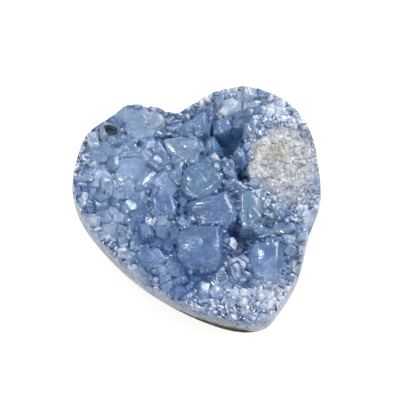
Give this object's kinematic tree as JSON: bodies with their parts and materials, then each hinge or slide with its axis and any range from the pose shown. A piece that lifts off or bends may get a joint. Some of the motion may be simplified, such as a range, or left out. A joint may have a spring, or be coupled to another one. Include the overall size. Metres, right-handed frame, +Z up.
{
  "type": "celestite cluster",
  "caption": "Heart-shaped celestite geode fragment with blue crystals on its face, a white druse patch, and a polished rounded back with a small flat spot to rest on.",
  "frame": {"origin": "middle of the bounding box, on the plane of the flat spot that the heart rests on", "axes": "+Z up out of the crystal face, +Y from the tip of the heart to its lobes, +X to the right seen from above"},
  "size_m": [0.0802, 0.0846, 0.0385],
  "materials": {
    "host_rock": "polished host rock, grey-cream with olive and brown veins",
    "blue_celestite": "translucent pale blue crystal, glossy natural faces, milky in places",
    "white_druse": "fine white sugary crystals, lightly stained olive at the middle"
  },
  "bodies": {
    "root": {"matrix_base": "host_rock", "celestite_crystals": "blue_celestite", "white_druse": "white_druse"}
  },
  "joints": []
}
